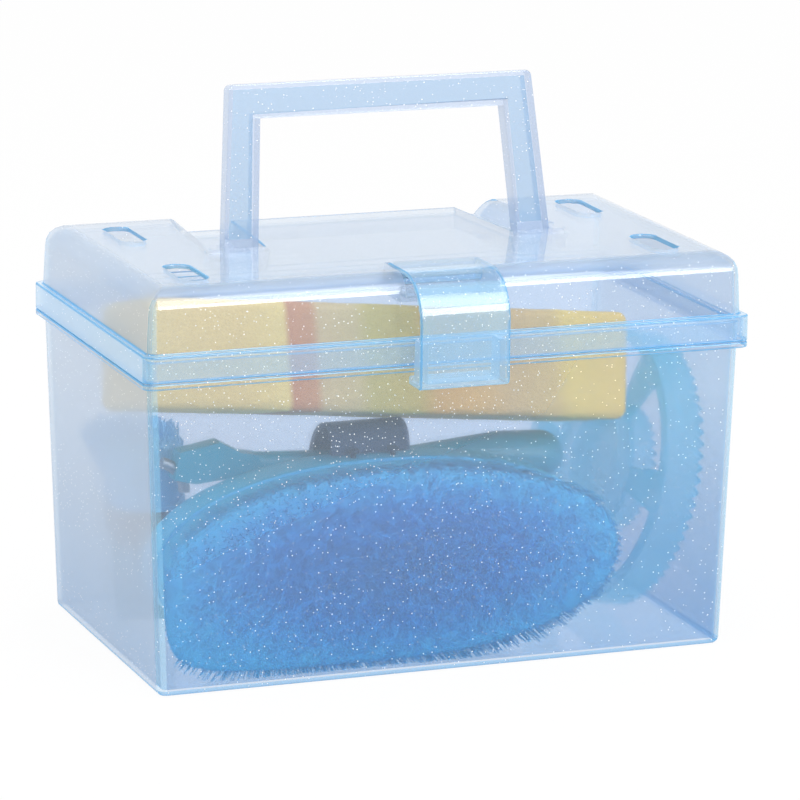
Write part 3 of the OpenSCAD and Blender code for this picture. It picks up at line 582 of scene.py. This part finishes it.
def bent_band(name, points, wide, thick, at_x):
    """A flat band along one cubic curve in the YZ plane, bent out of a ribbon and thickened."""
    deselect()
    bpy.ops.curve.primitive_bezier_curve_add()
    band = bpy.context.object
    curve = band.data
    curve.dimensions = "2D"
    curve.fill_mode = "NONE"
    curve.resolution_u = 40
    curve.extrude = wide / 2
    start, end = curve.splines[0].bezier_points
    for point in (start, end):
        point.handle_left_type = point.handle_right_type = "FREE"
    p, q, r, s = (Vector((y, z, 0)) for y, z in points)
    start.co, start.handle_left, start.handle_right = p, p + (p - q) * 0.3, q
    end.co, end.handle_left, end.handle_right = s, r, s + (s - r) * 0.3
    make_active(band)
    bpy.ops.object.convert(target="MESH")
    band = bpy.context.object
    band.name = band.data.name = name
    turned = Matrix(((0, 0, 1, 0), (1, 0, 0, 0), (0, 1, 0, 0), (0, 0, 0, 1)))
    band.matrix_world = Matrix.Translation((at_x, 0, 0)) @ turned
    apply_place(band)
    solid = band.modifiers.new("thickness", "SOLIDIFY")
    solid.thickness = thick
    solid.offset = 1.0
    bevel = band.modifiers.new("selvedge", "BEVEL")
    bevel.width = thick * 0.35
    bevel.segments = 2
    apply_all(band)
    return band


def box_slot(node, face, look, top, front, foremost):
    """The material slot of one face of the tub, the lid, the latch or the handle."""
    spot, normal, plain = face.center, face.normal, face.material_index == MAIN
    upright = abs(normal.z) < 0.5
    if node == "base_tub" and spot.z < look.floor + 0.1 * MM:
        return EDGE if abs(normal.z) < 0.9 else PLATE
    if node == "lid_shell" and upright and spot.z > top:
        return EDGE
    if node in ("base_tub", "lid_shell") and plain and upright and min(abs(normal.x), abs(normal.y)) > 0.2:
        return THICK
    # Painted shade: the inner faces of the handle's channel take the darker channel material
    if node == "handle" and normal.dot(front) < -0.9 and spot.dot(front) > foremost - 4 * MM:
        return CHANNEL
    if node == "latch" and abs(normal.z) > 0.8 and spot.z > look.skirt_top + 15 * MM:
        return PLATE
    if node == "latch" and spot.dot(front) < foremost - 3 * MM and spot.z < look.skirt_top:
        return SKIRT
    if node == "lid_shell" and plain and spot.z < look.skirt_top:
        return SKIRT
    return face.material_index


class GROOMING_OT_box(bpy.types.Operator):
    """Rounds and finishes the tub, the lid, the latch and the carrying handle"""
    bl_idname = "grooming.box"
    bl_label = "Box"
    bl_options = {"REGISTER", "UNDO"}

    def execute(self, context):
        look = context.scene.box_look
        pitch = look.flake_pitch
        wall = clear_polypropylene("clear_polypropylene", look.plastic, look.passing, pitch,
                                   blur=look.blur, foot=(look.foot, look.foot_passing))
        edge = clear_polypropylene("clear_polypropylene_edge", look.edge, look.edge_passing, pitch,
                                   mirror=0.2)
        thick = clear_polypropylene("clear_polypropylene_thick", look.thick, look.thick_passing, pitch)
        grip = clear_polypropylene("clear_polypropylene_shaded_channel", look.grip, look.grip_passing, pitch)
        rim = clear_polypropylene("clear_polypropylene_handle", look.rim, look.rim_passing, pitch)
        skirt = clear_polypropylene("clear_polypropylene_skirt", look.skirt, look.skirt_passing, pitch)
        plate = clear_polypropylene("clear_polypropylene_floor", look.plate, look.plate_passing, pitch)
        for node, name, body, slot, main in (
                ("base_tub", "tub", "base", "clear_plastic", wall),
                ("lid_shell", "lid", "lid", "clear_plastic", wall),
                ("latch", "latch_clip", "latch", "latch_plastic", thick),
                ("handle", "carrying_handle", "handle", "clear_plastic", rim)):
            piece = cad_copy(node, name)
            for material in (main, rim if main == rim else edge, skirt, thick, grip, plate):
                piece.data.materials.append(material)
            if node == "base_tub":
                bpy.ops.object.mode_set(mode="EDIT")
                bpy.ops.mesh.select_all(action="SELECT")
                bpy.ops.mesh.bisect(plane_co=(0, 0, look.floor), plane_no=(0, 0, 1))
                bpy.ops.object.mode_set(mode="OBJECT")
            top = max(v.co.z for v in piece.data.vertices) - 2 * MM
            if node == "handle":
                round_edges(piece, 2.5 * MM, 4,
                            lambda a, b: abs(a.y - b.y) > 3 * MM and min(a.z, b.z) > top)
            round_edges(piece, look.rounding, 2, lambda a, b: (a - b).length > 0.3 * MM and not (
                node == "lid_shell" and (crowded(a) or crowded(b))), slot=EDGE, clamp=False)
            fronts = (f for f in piece.data.polygons if f.normal.y < -0.9)
            front = max(fronts, key=lambda f: f.area).normal.copy()
            foremost = max(v.co.dot(front) for v in piece.data.vertices)
            for face in piece.data.polygons:
                face.material_index = box_slot(node, face, look, top, front, foremost)
            smooth(piece)
            settle(piece, body, slot, node)
        return {"FINISHED"}


class GROOMING_OT_fasteners(bpy.types.Operator):
    """Gives the pins and the pick's hook their plated steel, and the screws their blackened steel"""
    bl_idname = "grooming.fasteners"
    bl_label = "Pins, screws and hook"
    bl_options = {"REGISTER", "UNDO"}

    def execute(self, context):
        pins = ("hinge_pin_left", "hinge_pin_right", "latch_pin", "hoof_pick_hook")
        screws = ("body_brush_screw_left", "body_brush_screw_right",
                  "face_brush_screw_front", "face_brush_screw_rear")
        for nodes, steel in ((pins, zinc_plated_steel()), (screws, blackened_steel())):
            for node in nodes:
                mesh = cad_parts[node].data
                mesh.materials.clear()
                mesh.materials.append(steel)
        return {"FINISHED"}


class GROOMING_OT_sponge(bpy.types.Operator):
    """Makes the long foam block that lies on the brushes"""
    bl_idname = "grooming.sponge"
    bl_label = "Sponge"
    bl_options = {"REGISTER", "UNDO"}

    def execute(self, context):
        piece = cad_copy("sponge", "sponge_block")
        piece.data.remesh_voxel_size = 3 * MM
        bpy.ops.object.voxel_remesh()
        lumps = bpy.data.textures.new("foam_lumps", "CLOUDS")
        lumps.noise_scale = 0.012
        uneven = piece.modifiers.new("lumps", "DISPLACE")
        uneven.texture = lumps
        uneven.texture_coords = "LOCAL"
        uneven.strength = 0.8 * MM
        uneven.mid_level = 0.8
        apply_all(piece)
        smooth(piece, 60)
        piece.data.materials.append(open_cell_foam())
        settle(piece, "base", "foam", "sponge")
        return {"FINISHED"}


class GROOMING_OT_body_brush(bpy.types.Operator):
    """Makes the oval body brush that stands on its edge: shell, bristles and hand strap"""
    bl_idname = "grooming.body_brush"
    bl_label = "Body brush"
    bl_options = {"REGISTER", "UNDO"}

    def execute(self, context):
        look = context.scene.tool_look
        low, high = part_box("body_brush_back")
        tips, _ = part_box("body_brush_bristles")
        half = ((high.x - low.x) / 2, (high.z - low.z) / 2)
        shell = cad_copy("body_brush_back", "body_brush_shell")
        shell.data.materials.append(moulded_plastic("satin_polypropylene_shell", look.brush_shell, 0.35))
        round_edges(shell, 5 * MM, 5, lambda a, b: min(a.y, b.y) > high.y - 1 * MM)
        smooth(shell, 50)
        settle(shell, "base", "brush_plastic", "body_brush_back")
        tall = low.y - 1 * MM - tips.y
        pitch = look.bristle_pitch
        counts = (int(2 * half[0] / pitch), int(2 * half[1] / pitch))
        power = 2.15
        fibres, points = strand_field("body_brush_fibres", counts, pitch, tall, 0.42 * MM, 0.24 * MM)
        comb_strands(fibres, points, counts, pitch, tall, (half[0] - 2 * MM, half[1] - 2 * MM), power,
                     lambda x, y: splay(x, y, half, power, (0.04, 0.14)),
                     ruffle=0.6 * MM, seed=7, least=-half[1])
        bed = oval_plate("bed", half, power, 2 * MM)
        core = bristle_core((half[0] - 1 * MM, half[1] - 1 * MM), power, tall * 0.84,
                            flare=(1.03, 1.0), drift=(0, 0), pressed=True)
        fibres = join("body_brush_fibres", fibres, bed, core)
        middle = (low + high) / 2
        fibres.matrix_world = (Matrix.Translation((middle.x, low.y - 2 * MM, middle.z))
                               @ Matrix.Rotation(math.pi / 2, 4, "X"))
        apply_place(fibres)
        fibres.data.materials.append(nylon_bristle(
            "blue_nylon_bristle", look.bristle, look.bristle_rim, middle, (half[0], 1.0, half[1])))
        settle(fibres, "base", "blue_bristle", "body_brush_bristles")
        a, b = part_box("body_brush_strap")
        top = high.z
        course = ((low.y + 9 * MM, top + 0.2 * MM), (low.y + 9 * MM, top + 29 * MM),
                  (high.y + 45 * MM, top - 6 * MM), (high.y + 0.2 * MM, top - 58 * MM))
        strap = bent_band("body_brush_hand_strap", course, b.x - a.x, 2 * MM, (a.x + b.x) / 2)
        strap.data.materials.append(woven_webbing("dark_webbing_weave", look.dark_band))
        smooth(strap)
        settle(strap, "base", "dark_webbing", "body_brush_strap")
        return {"FINISHED"}


class GROOMING_OT_face_brush(bpy.types.Operator):
    """Makes the small face brush at the rear left: wooden back, pale bristles and hand strap"""
    bl_idname = "grooming.face_brush"
    bl_label = "Face brush"
    bl_options = {"REGISTER", "UNDO"}

    def execute(self, context):
        look = context.scene.tool_look
        back = cad_copy("face_brush_back", "face_brush_wood")
        low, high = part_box("face_brush_back")
        back.data.materials.append(varnished_beech(look.wood))
        round_edges(back, 3 * MM, 4, lambda a, b: max(a.z, b.z) < low.z + 1 * MM)
        smooth(back, 50)
        settle(back, "base", "brush_wood", "face_brush_back")
        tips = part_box("face_brush_bristles")[1]
        half = (17 * MM, 33 * MM)
        tall = tips.z - high.z - 1 * MM
        pitch = 1.2 * MM
        power = 2.8
        counts = (int(2 * half[0] / pitch), int(2 * half[1] / pitch))
        fibres, points = strand_field("face_brush_fibres", counts, pitch, tall, 0.42 * MM, 0.22 * MM)
        comb_strands(fibres, points, counts, pitch, tall, (half[0] - 2.5 * MM, half[1] - 2.5 * MM), power,
                     lambda x, y: (x * 0.45 - 5 * MM, y * 0.12 + 2 * MM), ruffle=0.9 * MM, seed=11)
        bed = oval_plate("bed", half, power, 2 * MM)
        core = bristle_core((half[0] - 2 * MM, half[1] - 2 * MM), power, tall * 0.85,
                            flare=(1.36, 1.08), drift=(-3.5 * MM, 1.2 * MM))
        fibres = join("face_brush_fibres", fibres, bed, core)
        middle = (low + high) / 2
        fibres.matrix_world = (Matrix.Translation((middle.x, middle.y, high.z + 2 * MM))
                               @ Matrix.Rotation(math.radians(-12), 4, "Z"))
        apply_place(fibres)
        fibres.data.materials.append(nylon_bristle(
            "pale_nylon_bristle", look.pale_bristle, look.pale_bristle, middle, (half[0], half[1], 1.0)))
        settle(fibres, "base", "pale_bristle", "face_brush_bristles")
        strap = cad_copy("face_brush_strap", "face_brush_hand_strap")
        strap.data.materials.append(woven_webbing("teal_webbing_weave", look.teal_band))
        round_edges(strap, 0.5 * MM, 2, lambda a, b: True)
        smooth(strap)
        settle(strap, "base", "teal_webbing", "face_brush_strap")
        return {"FINISHED"}


class GROOMING_OT_comb(bpy.types.Operator):
    """Finishes the round curry comb that leans on the right wall"""
    bl_idname = "grooming.comb"
    bl_label = "Curry comb"
    bl_options = {"REGISTER", "UNDO"}

    def execute(self, context):
        look = context.scene.tool_look
        box = context.scene.box_look
        piece = cad_copy("curry_comb", "comb")
        piece.data.materials.append(clear_polypropylene(
            "clear_polypropylene_comb", look.comb, look.comb_passing, box.flake_pitch, glow=look.comb_glow))
        piece.data.materials.append(clear_polypropylene(
            "clear_polypropylene_comb_edge", look.comb_edge, look.comb_edge_passing, box.flake_pitch,
            mirror=0.5))
        round_edges(piece, 0.4 * MM, 2, lambda a, b: (a - b).length > 0.3 * MM, slot=EDGE, clamp=False)
        smooth(piece)
        settle(piece, "base", "comb_plastic", "curry_comb")
        return {"FINISHED"}


class GROOMING_OT_pick(bpy.types.Operator):
    """Finishes the grip of the hoof pick"""
    bl_idname = "grooming.pick"
    bl_label = "Hoof pick"
    bl_options = {"REGISTER", "UNDO"}

    def execute(self, context):
        look = context.scene.tool_look
        piece = cad_copy("hoof_pick_handle", "pick_grip")
        piece.data.materials.append(moulded_plastic("satin_polypropylene_grip", look.grip, 0.4))
        round_edges(piece, 1.2 * MM, 3, lambda a, b: (a - b).length > 3 * MM)
        smooth(piece)
        settle(piece, "base", "pick_plastic", "hoof_pick_handle")
        return {"FINISHED"}


def background_ray(tree):
    """A value of 1 for the rays that see the white background: from the camera, mirrored or let through."""
    path = add_node(tree, "ShaderNodeLightPath")
    seen = add_node(tree, "ShaderNodeMath", {
        0: path.outputs["Is Camera Ray"], 1: path.outputs["Is Glossy Ray"]}, operation="MAXIMUM")
    seen = add_node(tree, "ShaderNodeMath", {
        0: seen.outputs[0], 1: path.outputs["Is Transmission Ray"]}, operation="MAXIMUM")
    return seen.outputs[0]


class GROOMING_OT_stage(bpy.types.Operator):
    """Sets the pale floor, the soft lights and the camera"""
    bl_idname = "grooming.stage"
    bl_label = "Stage"
    bl_options = {"REGISTER", "UNDO"}

    def execute(self, context):
        scene = context.scene
        scene.view_settings.view_transform = "Standard"
        scene.cycles.transparent_max_bounces = 64
        deselect()
        bpy.ops.mesh.primitive_plane_add(size=6)
        floor = context.object
        floor.name = "floor"
        material, tree = new_material("white_paper_floor")
        seen = background_ray(tree)
        share = add_node(tree, "ShaderNodeMath", {0: seen, 1: 0.94}, operation="MULTIPLY")
        paper = add_node(tree, "ShaderNodeBsdfDiffuse", {"Color": linear("f7f7f7")})
        white = add_node(tree, "ShaderNodeEmission", {"Color": linear("ffffff"), "Strength": 1.0})
        mixed = add_node(tree, "ShaderNodeMixShader", {
            0: share.outputs[0], 1: paper.outputs[0], 2: white.outputs[0]})
        show(tree, mixed.outputs[0])
        floor.data.materials.append(material)

        world = bpy.data.worlds.new("white_studio")
        scene.world = world
        world.use_nodes = True
        tree = world.node_tree
        tree.nodes.clear()
        seen = background_ray(tree)
        room = add_node(tree, "ShaderNodeBackground", {"Color": linear("ffffff"), "Strength": 0.88})
        white = add_node(tree, "ShaderNodeBackground", {"Color": linear("ffffff"), "Strength": 1.0})
        mixed = add_node(tree, "ShaderNodeMixShader", {
            0: seen, 1: room.outputs[0], 2: white.outputs[0]})
        add_node(tree, "ShaderNodeOutputWorld", {"Surface": mixed.outputs[0]})

        for name, at, size, watts, fills in (
                ("top_softbox", (-0.2, -0.2, 1.6), (1.2, 1.0), 7, True),
                ("left_softbox", (-1.5, -0.8, 0.7), (0.9, 1.2), 2, True),
                ("front_softbox", (0.53, -1.53, 0.73), (0.62, 0.44), 7, True),
                ("high_softbox", (0.45, -1.2, 1.35), (0.62, 0.9), 8, False)):
            lamp = bpy.data.lights.new(name, "AREA")
            lamp.shape = "RECTANGLE"
            lamp.size, lamp.size_y = size
            lamp.energy = watts
            holder = bpy.data.objects.new(name, lamp)
            scene.collection.objects.link(holder)
            holder.visible_diffuse = fills
            holder.location = at
            holder.rotation_euler = (Vector((0, 0, 0.15)) - Vector(at)).to_track_quat("-Z", "Y").to_euler()

        azimuth, elevation, roll = (math.radians(a) for a in (-20.55, 13.252, 0.554))
        back = Vector((math.sin(azimuth) * math.cos(elevation), -math.cos(azimuth) * math.cos(elevation),
                       math.sin(elevation)))
        right = Vector((math.cos(azimuth), math.sin(azimuth), 0))
        up = back.cross(right)
        right, up = (right * math.cos(roll) + up * math.sin(roll),
                     up * math.cos(roll) - right * math.sin(roll))
        target, distance, aside = Vector((0, 0, 0.10159)), 2.0595, 0.00592
        eye = target + back * distance
        aim = target + right * aside
        back = (eye - aim).normalized()
        right = up.cross(back).normalized()
        up = back.cross(right)
        lens = bpy.data.cameras.new("camera")
        lens.lens = 212.4
        lens.sensor_width = 36
        lens.clip_end = 50
        camera = bpy.data.objects.new("camera", lens)
        scene.collection.objects.link(camera)
        camera.matrix_world = Matrix.Translation(eye) @ Matrix((right, up, back)).transposed().to_4x4()
        scene.camera = camera
        return {"FINISHED"}


class GROOMING_PT_panel(bpy.types.Panel):
    """Lists the pieces and their settings"""
    bl_idname = "GROOMING_PT_panel"
    bl_label = "Grooming Box"
    bl_space_type = "VIEW_3D"
    bl_region_type = "UI"
    bl_category = "Grooming Box"

    def draw(self, context):
        for group in (context.scene.box_look, context.scene.tool_look):
            column = self.layout.column()
            for name in group.__annotations__:
                column.prop(group, name)
        for operator in OPERATORS:
            self.layout.operator(operator.bl_idname)


OPERATORS = (GROOMING_OT_stage, GROOMING_OT_box, GROOMING_OT_fasteners, GROOMING_OT_sponge,
             GROOMING_OT_body_brush, GROOMING_OT_face_brush, GROOMING_OT_comb, GROOMING_OT_pick)
CLASSES = (BoxLook, ToolLook) + OPERATORS + (GROOMING_PT_panel,)


def register():
    for cls in CLASSES:
        bpy.utils.register_class(cls)
    bpy.types.Scene.box_look = bpy.props.PointerProperty(type=BoxLook)
    bpy.types.Scene.tool_look = bpy.props.PointerProperty(type=ToolLook)


def unregister():
    del bpy.types.Scene.tool_look
    del bpy.types.Scene.box_look
    for cls in reversed(CLASSES):
        bpy.utils.unregister_class(cls)


def main():
    register()
    bpy.ops.grooming.stage()
    bpy.ops.grooming.box()
    bpy.ops.grooming.fasteners()
    bpy.ops.grooming.sponge()
    bpy.ops.grooming.body_brush()
    bpy.ops.grooming.face_brush()
    bpy.ops.grooming.comb()
    bpy.ops.grooming.pick()
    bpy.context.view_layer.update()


if __name__ == "__main__":
    main()
